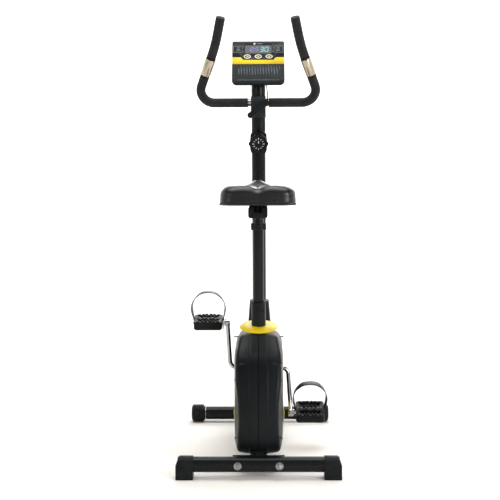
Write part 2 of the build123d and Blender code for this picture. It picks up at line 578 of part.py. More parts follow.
brake_arm = across(rim_sector(ARM_INNER, ARM_OUTER, 62, 137), WHEEL_LOW, WHEEL_HIGH)
brake_arm += axle(BRAKE_Y, BRAKE_Z, WHEEL_LOW, WHEEL_HIGH, 11)
save("brake_arm", brake_arm - axle(BRAKE_Y, BRAKE_Z, -90, 0, BRAKE_PIN_R + RUNNING))
magnets = Part()
for angle in (66, 80, 94, 108):
    magnets += across(rim_sector(MAGNET_INNER, ARM_INNER, angle, angle + 9), WHEEL_LOW + 4, WHEEL_HIGH - 4)
save("brake_magnets", magnets)


# ---------------------------------------------------------------- pedals
SPINDLE_R, SPINDLE_END, SPINDLE_FLANGE = 5, 214, 4
thread_start, thread_end = ARM_END - EYE_HALF, ARM_END + EYE_HALF
spindle_runs = ((thread_start, thread_end, THREAD_R), (thread_end, thread_end + SPINDLE_FLANGE, 10),
                (thread_end + SPINDLE_FLANGE, SPINDLE_END, SPINDLE_R))
spindles = Part()
for centre, side in ((left_spindle, -1), (right_spindle, 1)):
    for near, far, radius in spindle_runs:
        spindles += axle(centre.Y, centre.Z, *sorted((side * near, side * far)), radius)
save("pedal_spindles", spindles)


def pedal_frame():
    """A moulded pedal about its spindle: a frame with two windows and raised tread bars."""
    body = Box(2 * PEDAL_HALF, PEDAL_LENGTH, PEDAL_THICK)
    body = fillet(body.edges().filter_by(Axis.Z), 9)
    body = chamfer(body.faces().sort_by(Axis.Z)[0].edges(), 5)
    for y in (-PEDAL_LENGTH / 4 - 1, PEDAL_LENGTH / 4 + 1):
        body -= Pos(0, y, 0) * extrude(RectangleRounded(70, 25, 4), PEDAL_THICK, both=True)
    for x in (-33, -11, 11, 33):
        for y in (-43, 43):
            body += Pos(x, y, PEDAL_THICK / 2) * Box(12, 5, 2.4, align=BASE)
        body += Pos(x, 0, PEDAL_THICK / 2) * Box(12, 14, 2.4, align=BASE)
    bore = Rot(0, 90, 0) * Cylinder(SPINDLE_R + RUNNING, 3 * PEDAL_HALF)
    return body - bore


def strap_loop():
    """The toe strap: one flat ribbon over the foot, its ends held on the pedal's sides."""
    side = PEDAL_HALF + STRAP_THICK / 2 + 0.05
    line = FilletPolyline((-side, -12), (-side, 12), (-STRAP_HALF, 52), (-40, STRAP_RISE), (40, STRAP_RISE),
                          (STRAP_HALF, 52), (side, 12), (side, -12), radius=[30, 40, 34, 34, 40, 30])
    ribbon = Plane.XZ.offset(-STRAP_WIDTH - 6) * trace(line, line_width=STRAP_THICK)
    loop = extrude(ribbon, STRAP_WIDTH, dir=(0, -1, 0))
    for x in (-side, side):
        for height in (-6, 8):
            loop -= Pos(x, 6 + STRAP_WIDTH / 2, height) * Rot(0, 90, 0) * Cylinder(3, 20)
    return loop


def strap_pegs():
    """Four mushroom pegs that hold the strap's ends to the pedal."""
    pegs = Part()
    for side in (-1, 1):
        for height in (-6, 8):
            root = Vector(side * PEDAL_HALF, 6 + STRAP_WIDTH / 2, height)
            out = Vector(side, 0, 0)
            pegs += rod(root, root + out * (STRAP_THICK + 0.2), 2.8)
            pegs += rod(root + out * (STRAP_THICK + 0.2), root + out * (STRAP_THICK + 2), 4.5)
    return pegs


for name, centre, side, pitch in (("left", left_spindle, -1, LEFT_PITCH),
                                  ("right", right_spindle, 1, RIGHT_PITCH)):
    place = Pos(side * PEDAL_X, centre.Y, centre.Z) * Rot(pitch, 0, 0)
    save(f"pedal_{name}", place * (pedal_frame() + strap_pegs()))
    save(f"strap_{name}", place * strap_loop())


# ---------------------------------------------------------------- covers
COVER_WALL, SEAM = 3, 0.3
COVER_SIDE = [(-336, 58), (-356, 160), (-345, 262), (-296, 360), (-214, 420), (-90, 418), (60, 392),
              (165, 371), (262, 347), (322, 288), (340, 200), (318, 58)]
COVER_BENDS = [34, 280, 240, 170, 20, 250, 400, 400, 90, 90, 180, 34]
COVER_PLAN = [(-60, -362), (-72, -332), (-79, -180), (-79, 150), (-64, 335), (-54, 356),
              (54, 356), (64, 335), (79, 150), (79, -180), (72, -332), (60, -362)]
COVER_REAR_VIEW = [(-50, 48), (-68, 60), (-79, 112), (-79, 345), (-58, 440),
                   (58, 440), (79, 345), (79, 112), (68, 60), (50, 48)]
TRIM_FACE = 83


def cover_form(inset):
    """The drive cover's outside form, or the same form taken in by its wall."""
    side, plan, rear = outline(COVER_SIDE, COVER_BENDS), outline(COVER_PLAN, 14), outline(COVER_REAR_VIEW, 18)
    if inset:
        side, plan, rear = (offset(view, -inset) for view in (side, plan, rear))
    form = across(side, -90, 90) & extrude(Pos(0, 0, 20) * plan, 460)
    return form & extrude(Plane.XZ.offset(-400) * rear, 800, dir=(0, -1, 0))


cover = cover_form(0)
openings = (axle(0, CRANK_Z, -100, 100, 20) + rod(seat_axis(340), seat_axis(480), SEAT_TUBE_R + 1)
            + rod(mast_axis(300), mast_axis(480), STRUT_R + 1)
            + block((-SPINE_HALF - 1, -400, 0), (SPINE_HALF + 1, 400, SPINE_HIGH + 1)))
shell = cover - cover_form(COVER_WALL) - openings
COVER_SCREWS = [(-318, 110), (-300, 290), (-60, 388), (238, 325), (304, 235), (290, 90)]


def cover_side_x(y):
    """The cover's half width at a distance along the bike, on its tapering sides."""
    (y0, x0), (y1, x1) = ((-332, 72), (-180, 79)) if y < 0 else ((335, 64), (150, 79))
    return min(79, x0 + (x1 - x0) * (y - y0) / (y1 - y0))


screws = Part()
for y, z in COVER_SCREWS:
    face_x = cover_side_x(y)
    shell -= axle(y, z, -100, 100, 2.5)
    screws += axle(y, z, face_x - 14, face_x + 1, 2.4) + axle(y, z, face_x + 1, face_x + 2.6, 5)
save("cover_screws", both_sides(screws))
save("cover_left", shell & block((-100, -400, 0), (-SEAM, 400, 500)))
save("cover_right", shell & block((SEAM, -400, 0), (100, 400, 500)))

crescent = Pos(0, 285) * Circle(190) - Pos(0, 430) * Circle(304)
save("side_trims", both_sides(across(crescent, 60, TRIM_FACE) - cover))

RING_Z, RING_R = 434, 62
ring_plane = Plane(origin=seat_axis(RING_Z), z_dir=seat_axis(RING_Z + 10) - seat_axis(RING_Z))
ring_half = make_face(Polyline((0, -3), (RING_R - 4, -3), (RING_R, 0), (RING_R - 3, 3), (46, 6.5), (26, 8),
                               (0, 8), close=True))
ring = ring_plane * revolve(Plane.XZ * ring_half, Axis.Z)
save("cover_ring", ring - rod(seat_axis(380), seat_axis(480), SEAT_TUBE_R))

SHROUD_LOW, SHROUD_HIGH = 335, 478


def shroud_form(inset):
    corner = 22 - inset
    low = Pos(0, 218, SHROUD_LOW) * RectangleRounded(90 - 2 * inset, 122 - 2 * inset, corner)
    high = Pos(*mast_axis(SHROUD_HIGH)) * RectangleRounded(67 - 2 * inset, 70 - 2 * inset, corner)
    return loft([low, high])


shroud = shroud_form(0) - (shroud_form(3) & block((-60, 100, 380), (60, 320, SHROUD_HIGH - 5)))
save("mast_shroud", shroud - cover - mast_core - rod(mast_axis(300), mast_axis(500), MAST_R)
     - rod(mast_axis(300), mast_axis(465), STRUT_R + 8))


# ---------------------------------------------------------------- seat post, channel and knobs
post_core = rod(seat_axis(300), seat_axis(CHANNEL_LOW + 30), POST_R)
post_core -= rod(seat_axis(300), seat_axis(900), POST_R - 2)
seat_post = post_core - block((-40, -400, CHANNEL_LOW), (40, 0, 900))
HOLE_PITCH, HOLES_BELOW, HOLES_ABOVE = 25, 4, 4
lean = cos(radians(SEAT_LEAN))
for step in range(-HOLES_BELOW, HOLES_ABOVE + 1):
    level = PIN_Z + step * HOLE_PITCH * lean
    seat_post -= rod(seat_axis(level), seat_axis(level) + SEAT_FORWARD * 30, 5)
save("seat_post", seat_post)

bush_low, bush_rim = seat_axis(SEAT_TUBE_TOP - 60), seat_axis(SEAT_TUBE_TOP + 6)
bushing = rod(bush_low, seat_axis(SEAT_TUBE_TOP), SEAT_TUBE_R - 2) + rod(
    seat_axis(SEAT_TUBE_TOP), bush_rim, SEAT_TUBE_R + 1.5)
save("seat_bushing", bushing - rod(seat_axis(400), seat_axis(600), POST_R + RUNNING) - pin_hole)

knob_start = pin_seat + SEAT_FORWARD * (PIN_BOSS_END + GAP)
height_pin = rod(pin_seat + SEAT_FORWARD * (POST_R + 0.6), knob_start, PIN_R)
height_pin += rod(knob_start, knob_start + SEAT_FORWARD * 12, 10)
height_pin += rod(knob_start + SEAT_FORWARD * 12, knob_start + SEAT_FORWARD * 26, 18)
save("height_pin", height_pin)

CHANNEL_WALL, SLOT_HALF, SLIDE_GAP = 3, 12, 0.3
middle_z = (CHANNEL_LOW + CHANNEL_HIGH) / 2
channel_height = CHANNEL_HIGH - CHANNEL_LOW
rear_face = Plane(origin=(0, CHANNEL_REAR, middle_z), x_dir=(1, 0, 0), z_dir=(0, -1, 0))
channel_length = CHANNEL_FRONT - CHANNEL_REAR
profile = RectangleRounded(2 * CHANNEL_HALF, channel_height, 8) - Rectangle(
    2 * (CHANNEL_HALF - CHANNEL_WALL), channel_height - 2 * CHANNEL_WALL)
channel = rear_face * extrude(profile, -channel_length)
channel -= block((-SLOT_HALF, CHANNEL_REAR, middle_z), (SLOT_HALF, CHANNEL_FRONT, CHANNEL_HIGH + 5))
KNOB_SCREW_R = 5
end_plate = extrude(RectangleRounded(2 * CHANNEL_HALF, channel_height, 8) - Pos(0, 9) * Rectangle(
    2 * SLOT_HALF, 18), 3)
channel += rear_face * end_plate + rear_face * Pos(0, 0, -channel_length - 3) * end_plate
channel += rod((0, KNOB_Y, CHANNEL_LOW - 7), (0, KNOB_Y, CHANNEL_LOW), 10)
save("saddle_channel", channel - rod((0, KNOB_Y, 760), (0, KNOB_Y, 810), KNOB_SCREW_R + RUNNING))

inner_half = CHANNEL_HALF - CHANNEL_WALL - SLIDE_GAP
slider = block((-inner_half, SLIDER_REAR, CHANNEL_LOW + CHANNEL_WALL + SLIDE_GAP),
               (inner_half, SLIDER_FRONT, CHANNEL_HIGH - CHANNEL_WALL - SLIDE_GAP))
slider += block((-10, SLIDER_REAR, middle_z), (10, SLIDER_FRONT, SADDLE_LOW - 2))
slider += block((-45, SLIDER_REAR - 6, SADDLE_LOW - 3), (45, SLIDER_FRONT + 6, SADDLE_LOW))
save("saddle_slider", slider)


def star_knob():
    """A five-lobed clamp knob under the channel, on an upright screw."""
    lobes = Circle(19)
    for turn in range(5):
        lobes += Rot(0, 0, 72 * turn) * Pos(17, 0) * Circle(8.5)
    head = Pos(0, KNOB_Y, 757) * extrude(lobes, 20)
    collar = rod((0, KNOB_Y, 777), (0, KNOB_Y, 783), 11)
    screw = rod((0, KNOB_Y, 783), (0, KNOB_Y, CHANNEL_LOW + CHANNEL_WALL - 0.2), KNOB_SCREW_R)
    return head + collar + screw


save("saddle_knob", star_knob())


# ---------------------------------------------------------------- saddle
SADDLE_PLAN = [(-88, -352), (88, -352), (121.5, -316), (116, -262), (50, -176), (31, -84),
               (-31, -84), (-50, -176), (-116, -262), (-121.5, -316)]
pan = extrude(Pos(0, 0, SADDLE_LOW) * offset(outline(SADDLE_PLAN, 20), -3), PAN_THICK)
save("saddle_base", pan)
cushion_low = SADDLE_LOW + PAN_THICK
cushion = extrude(Pos(0, 0, cushion_low) * outline(SADDLE_PLAN, 20), CUSHION_TOP - cushion_low)
save("saddle_cushion", fillet(cushion.faces().sort_by(Axis.Z)[-1].edges(), 15))
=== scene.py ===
import json
import math
import random
from math import cos, pi, radians, sin, tan

import bmesh
import bpy
from mathutils import Matrix, Vector

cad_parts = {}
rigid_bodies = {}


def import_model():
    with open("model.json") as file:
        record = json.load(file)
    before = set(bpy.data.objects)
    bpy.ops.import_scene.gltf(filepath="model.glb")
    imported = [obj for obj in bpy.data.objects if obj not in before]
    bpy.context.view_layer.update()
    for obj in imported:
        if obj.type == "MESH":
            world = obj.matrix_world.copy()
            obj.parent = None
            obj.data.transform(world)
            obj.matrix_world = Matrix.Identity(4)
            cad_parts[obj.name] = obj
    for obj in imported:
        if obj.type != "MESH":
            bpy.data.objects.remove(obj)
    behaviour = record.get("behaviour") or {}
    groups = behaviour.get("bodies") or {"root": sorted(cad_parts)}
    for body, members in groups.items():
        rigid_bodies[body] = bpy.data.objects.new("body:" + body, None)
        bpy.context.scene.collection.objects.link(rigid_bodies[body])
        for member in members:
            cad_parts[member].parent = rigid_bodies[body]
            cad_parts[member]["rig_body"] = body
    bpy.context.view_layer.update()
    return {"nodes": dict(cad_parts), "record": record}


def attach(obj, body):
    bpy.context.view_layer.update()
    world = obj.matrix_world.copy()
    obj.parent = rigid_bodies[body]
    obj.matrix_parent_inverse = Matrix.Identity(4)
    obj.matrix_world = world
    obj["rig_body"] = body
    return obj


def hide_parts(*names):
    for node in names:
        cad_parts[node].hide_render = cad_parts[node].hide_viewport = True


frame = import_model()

# An upright exercise bike seen from behind the rider. Metres. +X is the rider's right, +Y forward, +Z up.
nodes = frame["nodes"]
MM = 0.001
random.seed(7)


# ---------------------------------------------------------------- camera, floor and light
CAMERA_PLACE = (0.0273, -3.8163, 0.9779)
CAMERA_YAW, CAMERA_PITCH, CAMERA_ROLL = 0.85, -4.59, -0.25      # degrees
CAMERA_LENS = 82.2
SENSOR = 36
PALE_FLOOR = (0.83, 0.81, 0.78, 1)


def make_camera():
    data = bpy.data.cameras.new("camera")
    data.lens, data.sensor_width = CAMERA_LENS, SENSOR
    camera = bpy.data.objects.new("camera", data)
    bpy.context.scene.collection.objects.link(camera)
    turn = (Matrix.Rotation(radians(CAMERA_YAW), 4, "Z") @ Matrix.Rotation(radians(90 + CAMERA_PITCH), 4, "X")
            @ Matrix.Rotation(radians(CAMERA_ROLL), 4, "Z"))
    camera.matrix_world = Matrix.Translation(CAMERA_PLACE) @ turn
    bpy.context.scene.camera = camera


def make_stage():
    """A pale floor that curves up into a backdrop on all sides that the camera can see."""
    reach, rise, bend = 9.0, 7.0, 2.5
    rings = [(0.0, 0.0), (reach - bend, 0.0)]
    rings += [(reach - bend + bend * sin(a), bend - bend * cos(a))
              for a in (radians(15 * k) for k in range(1, 7))]
    rings.append((reach, rise))
    count = 64
    bm = bmesh.new()
    centre = bm.verts.new((0, 0, 0))
    loops = [[bm.verts.new((r * cos(2 * pi * k / count), r * sin(2 * pi * k / count), z))
              for k in range(count)] for r, z in rings[1:]]
    for k in range(count):
        bm.faces.new((centre, loops[0][k], loops[0][(k + 1) % count]))
    for low, high in zip(loops, loops[1:]):
        for k in range(count):
            bm.faces.new((low[k], high[k], high[(k + 1) % count], low[(k + 1) % count]))
    stage = mesh_object("studio_floor", bm)
    smooth(stage, 60)
    material, tree, shader = new_material("studio_floor")
    shader.inputs["Base Color"].default_value = PALE_FLOOR
    shader.inputs["Roughness"].default_value = 0.75
    place = tree.nodes.new("ShaderNodeTexCoord")
    far = tree.nodes.new("ShaderNodeVectorMath")
    far.operation = "LENGTH"
    tree.links.new(place.outputs["Object"], far.inputs[0])
    ahead = tree.nodes.new("ShaderNodeSeparateXYZ")
    tree.links.new(place.outputs["Object"], ahead.inputs[0])
    glow = tree.nodes.new("ShaderNodeMath")
    glow.operation = "MULTIPLY"
    tree.links.new(between(tree, far.outputs["Value"], 0.0, 1.0, (1.2, 6.5)), glow.inputs[0])
    tree.links.new(between(tree, ahead.outputs["Y"], 0.02, 0.9, (-5, 5)), glow.inputs[1])
    tree.links.new(glow.outputs["Value"], shader.inputs["Emission Strength"])
    shader.inputs["Emission Color"].default_value = (1, 0.99, 0.975, 1)
    stage.data.materials.append(material)


def area_light(name, place, target, size, power, colour=(1, 1, 1)):
    data = bpy.data.lights.new(name, "AREA")
    data.shape, data.size, data.size_y = "RECTANGLE", size[0], size[1]
    data.energy, data.color = power, colour
    light = bpy.data.objects.new(name, data)
    bpy.context.scene.collection.objects.link(light)
    aim = (Vector(target) - Vector(place)).to_track_quat("-Z", "Y")
    light.matrix_world = Matrix.Translation(place) @ aim.to_matrix().to_4x4()


def make_light():
    scene = bpy.context.scene
    scene.view_settings.view_transform = "Standard"
    world = bpy.data.worlds.new("studio")
    scene.world = world
    world.use_nodes = True
    background = world.node_tree.nodes["Background"]
    background.inputs["Color"].default_value = (1.0, 0.985, 0.97, 1)
    background.inputs["Strength"].default_value = 0.2
    area_light("overhead", (0.0, 0.1, 4.2), (0, 0, 0.2), (3.2, 2.6), 150, (1, 0.985, 0.97))
    area_light("rear_left", (-2.8, -3.2, 1.9), (0, 0, 0.8), (0.9, 1.8), 16)
    area_light("rear_right", (2.6, -2.8, 1.7), (0, 0, 0.8), (0.8, 2.0), 75)
    area_light("front_rim", (0.6, 3.2, 2.6), (0, 0, 0.9), (2.4, 1.2), 60)


# ---------------------------------------------------------------- mesh helpers
def mesh_object(name, bm):
    bmesh.ops.recalc_face_normals(bm, faces=bm.faces)
    mesh = bpy.data.meshes.new(name)
    bm.to_mesh(mesh)
    bm.free()
    piece = bpy.data.objects.new(name, mesh)
    bpy.context.scene.collection.objects.link(piece)
    return piece


def smooth(piece, angle=35):
    """Smooth shading, with edges sharper than the angle kept crisp."""
    piece.data.shade_smooth()
    piece.data.set_sharp_from_angle(angle=radians(angle))


def applied(piece):
    """The piece with its modifiers made part of its mesh."""
    bpy.context.view_layer.update()
    evaluated = piece.evaluated_get(bpy.context.evaluated_depsgraph_get())
    mesh = bpy.data.meshes.new_from_object(evaluated)
    piece.modifiers.clear()
    piece.data = mesh
    return piece


def finish_piece(piece, material, body, slot, *replaced):
    """Gives a piece its material, the body that it rides on and the CAD nodes that it stands for."""
    piece.data.materials.clear()
    piece.data.materials.append(material)
    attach(piece, body)
    if replaced:
        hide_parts(*replaced)
    return piece


def refined(node, width, material, segments=2, crease=30):
    """A copy of a CAD node with its edges rounded, which stands for the node."""
    source = nodes[node]
    bm = bmesh.new()
    bm.from_mesh(source.data)
    bmesh.ops.remove_doubles(bm, verts=bm.verts, dist=2e-6)
    bmesh.ops.dissolve_limit(bm, angle_limit=radians(0.6), verts=bm.verts, edges=bm.edges)
    sharp = [edge for edge in bm.edges if edge.is_manifold and edge.calc_face_angle(0) > radians(crease)]
    bmesh.ops.bevel(bm, geom=sharp, offset=width, segments=segments, profile=0.5, affect="EDGES",
                    clamp_overlap=True)
    piece = mesh_object(f"{node}_finished", bm)
    smooth(piece, crease)
    slot = next(part["material_slot"] for part in frame["record"]["subparts"] if part["node"] == node)
    return finish_piece(piece, material, source["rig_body"], slot, node)


# ---------------------------------------------------------------- material helpers
def new_material(name):
    material = bpy.data.materials.new(name)
    material.use_nodes = True
    tree = material.node_tree
    return material, tree, tree.nodes["Principled BSDF"]


def texture(tree, kind, scale, detail=3.0, stretch=(1, 1, 1)):
    """A noise or cell texture in the piece's own coordinates."""
    place = tree.nodes.new("ShaderNodeTexCoord")
    mapping = tree.nodes.new("ShaderNodeMapping")
    mapping.inputs["Scale"].default_value = stretch
    tree.links.new(place.outputs["Object"], mapping.inputs["Vector"])
    if kind == "noise":
        node = tree.nodes.new("ShaderNodeTexNoise")
        node.inputs["Detail"].default_value = detail
        output = node.outputs["Fac"]
    else:
        node = tree.nodes.new("ShaderNodeTexVoronoi")
        node.feature = kind
        output = node.outputs["Distance"]
    node.inputs["Scale"].default_value = scale
    tree.links.new(mapping.outputs["Vector"], node.inputs["Vector"])
    return output


def ramp(tree, value, low, high, spread=(0.3, 0.7)):
    """Two colours blended by a texture."""
    node = tree.nodes.new("ShaderNodeValToRGB")
    node.color_ramp.elements[0].position, node.color_ramp.elements[1].position = spread
    node.color_ramp.elements[0].color = (*low, 1)
    node.color_ramp.elements[1].color = (*high, 1)
    tree.links.new(value, node.inputs["Fac"])
    return node.outputs["Color"]


def between(tree, value, low, high, spread=(0.3, 0.7)):
    """A number blended by a texture."""
    node = tree.nodes.new("ShaderNodeMapRange")
    for name, number in zip(("From Min", "From Max", "To Min", "To Max"), (*spread, low, high)):
        node.inputs[name].default_value = number
    tree.links.new(value, node.inputs["Value"])
    return node.outputs["Result"]


def bump(tree, height, depth, below=None):
    node = tree.nodes.new("ShaderNodeBump")
    node.inputs["Strength"].default_value = 1.0
    node.inputs["Distance"].default_value = depth
    tree.links.new(height, node.inputs["Height"])
    if below is not None:
        tree.links.new(below, node.inputs["Normal"])
    return node.outputs["Normal"]


def surface(name, colours, roughness, patch=9, grain=("noise", 900, 0.00004), metallic=0.0, coat=0.0,
            coat_roughness=0.1, sheen=0.0, specular=0.1, waviness=None, stretch=(1, 1, 1)):
    """A finish: two blended colours, uneven roughness and a fine grain, with wider waviness if wanted."""
    material, tree, shader = new_material(name)
    patches = texture(tree, "noise", patch, 5.0, stretch)
    tree.links.new(ramp(tree, patches, *colours), shader.inputs["Base Color"])
    smudges = texture(tree, "noise", patch * 4.3, 6.0, stretch)
    tree.links.new(between(tree, smudges, *roughness), shader.inputs["Roughness"])
    kind, scale, depth = grain
    normal = bump(tree, texture(tree, kind, scale, 2.0, stretch), depth)
    if waviness:
        normal = bump(tree, texture(tree, "noise", waviness[0], 2.0), waviness[1], normal)
    tree.links.new(normal, shader.inputs["Normal"])
    shader.inputs["Metallic"].default_value = metallic
    shader.inputs["Coat Weight"].default_value = coat
    shader.inputs["Coat Roughness"].default_value = coat_roughness
    shader.inputs["Sheen Weight"].default_value = sheen
    shader.inputs["Specular IOR Level"].default_value = specular
    return material


paint = surface("black_powder_coat", ((0.0035, 0.005, 0.0055), (0.0055, 0.0075, 0.008)), (0.27, 0.33), 14,
                ("noise", 750, 0.00006), coat=0.12, coat_roughness=0.16, specular=0.1)
clamp_paint = surface("clamp_paint", ((0.008, 0.012, 0.015), (0.016, 0.022, 0.027)), (0.3, 0.44), 30,
                      ("noise", 1500, 0.00008), coat=0.1, coat_roughness=0.2, specular=0.15)
cover_plastic = surface("cover_plastic", ((0.004, 0.0056, 0.0064), (0.007, 0.0095, 0.0108)), (0.30, 0.42), 7,
                        ("SMOOTH_F1", 1400, 0.00005), coat=0.06, coat_roughness=0.25, waviness=(14, 0.0004),
                        specular=0.1)
black_plastic = surface("black_plastic", ((0.006, 0.007, 0.008), (0.011, 0.013, 0.014)), (0.36, 0.5), 22,
                        ("SMOOTH_F1", 1700, 0.00006), specular=0.1)
console_plastic = surface("console_plastic", ((0.008, 0.011, 0.013), (0.014, 0.018, 0.020)), (0.3, 0.42), 18,
                          ("SMOOTH_F1", 2100, 0.00005), coat=0.06, coat_roughness=0.2, specular=0.1)
yellow_plastic = surface("yellow_plastic", ((0.62, 0.46, 0.008), (0.70, 0.53, 0.014)), (0.26, 0.38), 16,
                         ("noise", 900, 0.00003), specular=0.12)
chrome = surface("chrome", ((0.36, 0.37, 0.39), (0.44, 0.45, 0.46)), (0.07, 0.16), 20,
                 ("noise", 260, 0.00001), metallic=1.0)
steel = surface("zinc_plate", ((0.26, 0.27, 0.28), (0.38, 0.38, 0.37)), (0.24, 0.4), 120,
                ("noise", 1600, 0.00003), metallic=1.0)
sensor_metal = surface("sensor_plate", ((0.42, 0.37, 0.28), (0.52, 0.46, 0.36)), (0.18, 0.3), 60,
                       ("noise", 1800, 0.00003), metallic=1.0, stretch=(1, 1, 0.08))
cast_iron = surface("cast_iron", ((0.12, 0.12, 0.12), (0.22, 0.21, 0.20)), (0.45, 0.65), 60,
                    ("noise", 500, 0.0003), metallic=0.8)
foam = surface("grip_foam", ((0.008, 0.009, 0.010), (0.014, 0.015, 0.016)), (0.72, 0.86), 26,
               ("SMOOTH_F1", 900, 0.00022), sheen=0.12, specular=0.2)
vinyl = surface("saddle_vinyl", ((0.0035, 0.0048, 0.0055), (0.006, 0.0075, 0.0083)), (0.27, 0.38), 12,
                ("SMOOTH_F1", 620, 0.00010), coat=0.1, coat_roughness=0.3,
                waviness=(55, 0.0005), specular=0.3)
strap_plastic = surface("strap_plastic", ((0.007, 0.008, 0.009), (0.013, 0.014, 0.015)), (0.34, 0.48), 40,
                        ("SMOOTH_F1", 1300, 0.00006), specular=0.3)
cable_rubber = surface("cable_rubber", ((0.006, 0.006, 0.007), (0.011, 0.011, 0.012)), (0.42, 0.55), 60,
                       ("noise", 1500, 0.00003), specular=0.3)
belt_rubber = surface("belt_rubber", ((0.012, 0.012, 0.012), (0.024, 0.024, 0.024)), (0.7, 0.85), 60,
                      ("noise", 900, 0.0001))
pale_plastic = surface("pale_plastic", ((0.72, 0.70, 0.50), (0.82, 0.80, 0.62)), (0.3, 0.42), 60,
                       ("noise", 1200, 0.00003))
white_print = surface("white_print", ((0.72, 0.73, 0.73), (0.84, 0.85, 0.85)), (0.4, 0.5), 300,
                      ("noise", 3000, 0.00001))

# grey print for the console's side frames and dash; the same grey also makes the dotted line on the lower
# ledge, which is a painted highlight
grey_print_and_highlight = surface("grey_print_and_painted_highlight", ((0.17, 0.19, 0.20), (0.26, 0.28, 0.29)), (0.4, 0.5), 300,
                      ("noise", 3000, 0.00001))
# painted highlight: the grille ribs are a light blue-grey, far lighter than the black console, standing in
# for the highlights on them
fin_painted_highlight = surface("fin_painted_highlight", ((0.10, 0.12, 0.14), (0.19, 0.22, 0.25)), (0.2, 0.32), 90,
                      ("noise", 1600, 0.00002), coat=0.3)
display_glass = surface("display_glass", ((0.010, 0.012, 0.022), (0.016, 0.019, 0.034)), (0.06, 0.14), 30,
                        ("noise", 900, 0.000004), coat=0.5, coat_roughness=0.05)


# ---------------------------------------------------------------- pulse cable
# lead from the console's lower edge to the grommet in the handlebar; both ends go into the object
PULSE_ROUTE = [(27.5, 54.1, 1225.1), (28.5, 46.9, 1213.6), (30.5, 43.5, 1200.5), (31.0, 44.5, 1188.0),
               (30.3, 52.5, 1178.7)]
PULSE_LENGTH, PULSE_DIAMETER = 0.0515, 0.0036


def make_pulse_cable():
    data = bpy.data.curves.new("pulse_lead", "CURVE")
    data.dimensions, data.bevel_depth, data.bevel_resolution = "3D", PULSE_DIAMETER / 2, 6
    data.resolution_u, data.use_fill_caps = 16, True
    spline = data.splines.new("NURBS")
    spline.points.add(len(PULSE_ROUTE) - 1)
    for point, place in zip(spline.points, PULSE_ROUTE):
        point.co = (*[value * MM for value in place], 1)
    spline.order_u, spline.use_endpoint_u = 3, True
    lead = bpy.data.objects.new("pulse_lead", data)
    bpy.context.scene.collection.objects.link(lead)
    finish_piece(lead, cable_rubber, "frame", "strap_rubber", "pulse_cable")


# ---------------------------------------------------------------- parts that keep their CAD shape
FINISHED = {                      # material: {node: edge rounding in millimetres}
    "paint": {"rear_stabiliser": 0, "front_stabiliser": 0, "spine_tube": 1, "seat_tube": 0.6,
              "seat_post": 0.3,
              "front_strut": 0, "crank_beams": 0, "mast": 0.6, "saddle_channel": 0.8, "saddle_slider": 1,
              "brake_arm": 0},
    "clamp_paint": {"handlebar_clamp": 2, "clamp_cap": 2},
    "cover_plastic": {"mast_shroud": 2.5},
    "black_plastic": {"rear_cap_left": 3, "rear_cap_right": 3, "seat_bushing": 1, "dial_base": 2.5,
                      "saddle_base": 2, "saddle_knob": 2, "height_pin": 3, "tension_knob": 1.6, "t_handle": 3,
                      "pulse_sensors": 0.8, "pedal_left": 1.6, "pedal_right": 1.6, "roller_left": 1.2,
                      "roller_right": 1.2, "crank_pulley": 0},
    "console_plastic": {"console_back": 3, "console_face": 1.2},
    "yellow_plastic": {"cover_ring": 1, "side_trims": 1.4, "console_trim": 0.5},
    "chrome": {"crank": 1.2, "pedal_spindles": 0, "handlebar": 0},
    "steel": {"stabiliser_fasteners": 0.6, "roller_pins": 0, "cover_screws": 0.5, "bearings": 0,
              "mast_bolts": 0.4, "flywheel_shaft": 0, "brake_magnets": 0},
    "sensor_metal": {"pulse_plates": 0.45},
    "cast_iron": {"flywheel": 0},
    "foam": {"foam_grips": 2},
    "cable_rubber": {"brake_cable": 0, "cable_grommet": 0.5},
    "belt_rubber": {"drive_belt": 0},
}
materials = {"paint": paint, "clamp_paint": clamp_paint, "cover_plastic": cover_plastic,
             "black_plastic": black_plastic, "console_plastic": console_plastic,
             "yellow_plastic": yellow_plastic, "chrome": chrome, "steel": steel, "sensor_metal": sensor_metal,
             "cast_iron": cast_iron, "foam": foam, "cable_rubber": cable_rubber, "belt_rubber": belt_rubber}


def finish_cad_parts():
    for name, rounded in FINISHED.items():
        for node, width in rounded.items():
            if width:
                refined(node, width * MM, materials[name])
            else:
                nodes[node].data.materials.clear()
                nodes[node].data.materials.append(materials[name])


# ---------------------------------------------------------------- saddle
SADDLE_PLAN = [(0, -352), (60, -354), (100, -345), (119, -316), (114, -268), (84, -222), (55, -180),
               (38, -130), (30, -98), (14, -84), (0, -82)]        # half outline, millimetres
SADDLE_SIDE = [(-354, 886), (-345, 890), (-320, 894), (-280, 895), (-230, 893), (-180, 896), (-140, 903),
               (-108, 909), (-92, 909), (-82, 905)]    # crown height along the middle of each cheek
SADDLE_BOTTOM = 836
SADDLE_WALL = [(6, SADDLE_BOTTOM), (1.2, SADDLE_BOTTOM + 1.5), (0.0, SADDLE_BOTTOM + 7), (0.6, 850),
               (1.2, 858)]                             # inset and height up the side
DIP_DEPTH, DIP_WIDTH = 10.0, 19                        # the channel along the middle


